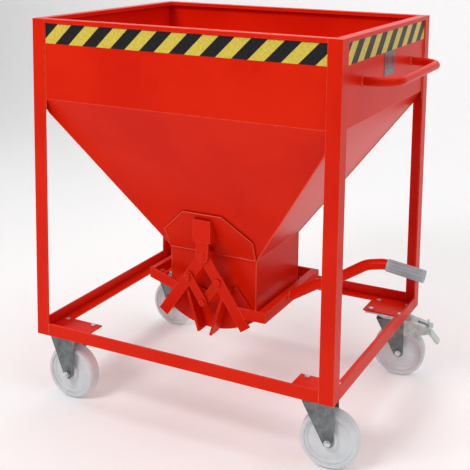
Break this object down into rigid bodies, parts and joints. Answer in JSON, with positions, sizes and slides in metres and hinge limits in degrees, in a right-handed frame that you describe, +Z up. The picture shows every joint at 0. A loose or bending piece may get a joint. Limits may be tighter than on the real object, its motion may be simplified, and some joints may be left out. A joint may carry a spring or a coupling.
{
  "type": "wheeled hopper trolley",
  "caption": "Wheeled hopper on an angle-iron frame, with sloping sides down to a square outlet, a clamshell gate worked by a hand lever, a push handle and four castors, one with a brake",
  "frame": {"origin": "middle of the rectangle that the trolley covers on the floor, lever included, at floor level", "axes": "+X towards the push handle and the swivel castors, +Y to the far long side, +Z up"},
  "size_m": [1.1918, 0.834, 1.275],
  "materials": {
    "red_paint": "glossy powder coat",
    "wheel_plastic": "satin moulded nylon",
    "zinc_grey": "dull zinc plate",
    "bright_zinc": "bright zinc plate",
    "tape": "reflective hazard tape",
    "plate_black": "printed film",
    "grip_grey": "ribbed soft grip",
    "pedal_zinc": "pale satin coat"
  },
  "bodies": {
    "trolley": {"axle_front_left": "bright_zinc", "axle_rear_left": "bright_zinc", "castor_bolts": "bright_zinc", "castor_plates": "bright_zinc", "corner_plates": "red_paint", "fork_front_left": "zinc_grey", "fork_rear_left": "zinc_grey", "gate_pivots": "red_paint", "hangers": "red_paint", "hazard_tape": "tape", "outlet": "red_paint", "post_front_left": "red_paint", "post_front_right": "red_paint", "post_rear_left": "red_paint", "post_rear_right": "red_paint", "push_handle": "red_paint", "rail_front": "red_paint", "rail_left": "red_paint", "rail_rear": "red_paint", "rail_right": "red_paint", "rating_plate": "plate_black", "rim": "red_paint", "slope_front": "red_paint", "slope_left": "red_paint", "slope_rear": "red_paint", "slope_right": "red_paint", "stiffener_plates": "red_paint", "swivel_heads": "zinc_grey", "wall_front": "red_paint", "wall_left": "red_paint", "wall_rear": "red_paint", "wall_right": "red_paint"},
    "fork_front_right": {"fork_front_right": "zinc_grey", "axle_front_right": "bright_zinc"},
    "fork_rear_right": {"fork_rear_right": "zinc_grey", "axle_rear_right": "bright_zinc", "brake_housing": "zinc_grey"},
    "wheel_front_left": {"wheel_front_left": "wheel_plastic"},
    "wheel_front_right": {"wheel_front_right": "wheel_plastic"},
    "wheel_rear_left": {"wheel_rear_left": "wheel_plastic"},
    "wheel_rear_right": {"wheel_rear_right": "wheel_plastic"},
    "brake_pedal": {"brake_pedal": "pedal_zinc"},
    "jaw_right": {"jaw_right_shell": "red_paint", "jaw_right_cheeks": "red_paint", "arms_right": "red_paint", "ribs_right": "red_paint", "yoke_right": "red_paint", "lever": "red_paint", "lever_grip": "grip_grey", "link_pin_right": "red_paint"},
    "jaw_left": {"jaw_left_shell": "red_paint", "jaw_left_cheeks": "red_paint", "arms_left": "red_paint", "ribs_left": "red_paint", "yoke_left": "red_paint", "yoke_bolt": "red_paint", "link_pin_left": "red_paint"},
    "link_left": {"link_left": "red_paint", "link_pin_meet": "red_paint"},
    "link_right": {"link_right": "red_paint"}
  },
  "joints": [
    {"name": "castor_front_right_swivel", "type": "hinge", "parent": "trolley", "child": "fork_front_right", "pos_m": [0.36661, -0.335, 0.2], "axis": [0, 0, 1], "continuous": true},
    {"name": "castor_rear_right_swivel", "type": "hinge", "parent": "trolley", "child": "fork_rear_right", "pos_m": [0.36661, 0.335, 0.2], "axis": [0, 0, 1], "continuous": true},
    {"name": "wheel_front_right_spin", "type": "hinge", "parent": "fork_front_right", "child": "wheel_front_right", "pos_m": [0.40721, -0.32929, 0.09], "axis": [-0.1392, 0.9903, 0], "continuous": true},
    {"name": "wheel_front_left_spin", "type": "hinge", "parent": "trolley", "child": "wheel_front_left", "pos_m": [-0.50839, -0.335, 0.09], "axis": [0, 1, 0], "continuous": true},
    {"name": "wheel_rear_right_spin", "type": "hinge", "parent": "fork_rear_right", "child": "wheel_rear_right", "pos_m": [0.40721, 0.34071, 0.09], "axis": [-0.1392, 0.9903, 0], "continuous": true},
    {"name": "wheel_rear_left_spin", "type": "hinge", "parent": "trolley", "child": "wheel_rear_left", "pos_m": [-0.50839, 0.335, 0.09], "axis": [0, 1, 0], "continuous": true},
    {"name": "gate_right", "type": "hinge", "parent": "trolley", "child": "jaw_right", "pos_m": [-0.07339, 0, 0.531], "axis": [0, -1, 0], "range_deg": [0, 32]},
    {"name": "gate_left", "type": "hinge", "parent": "trolley", "child": "jaw_left", "pos_m": [-0.07339, 0, 0.531], "axis": [0, -1, 0], "range_deg": [-32, 0]},
    {"name": "link_left_pivot", "type": "hinge", "parent": "jaw_left", "child": "link_left", "pos_m": [-0.12788, -0.22, 0.45318], "axis": [0, -1, 0], "range_deg": [0, 64]},
    {"name": "link_right_pivot", "type": "hinge", "parent": "jaw_right", "child": "link_right", "pos_m": [-0.0189, -0.23, 0.45318], "axis": [0, -1, 0], "range_deg": [-64, 0]},
    {"name": "brake_pedal_tilt", "type": "hinge", "parent": "fork_rear_right", "child": "brake_pedal", "pos_m": [0.50723, 0.35476, 0.17649], "axis": [-0.1392, 0.9903, 0], "range_deg": [0, 15]}
  ],
  "couplings": [
    {"joint": "gate_left", "follows": "gate_right", "ratio": -1},
    {"joint": "link_left_pivot", "follows": "gate_right", "ratio": 2},
    {"joint": "link_right_pivot", "follows": "gate_right", "ratio": -2}
  ]
}
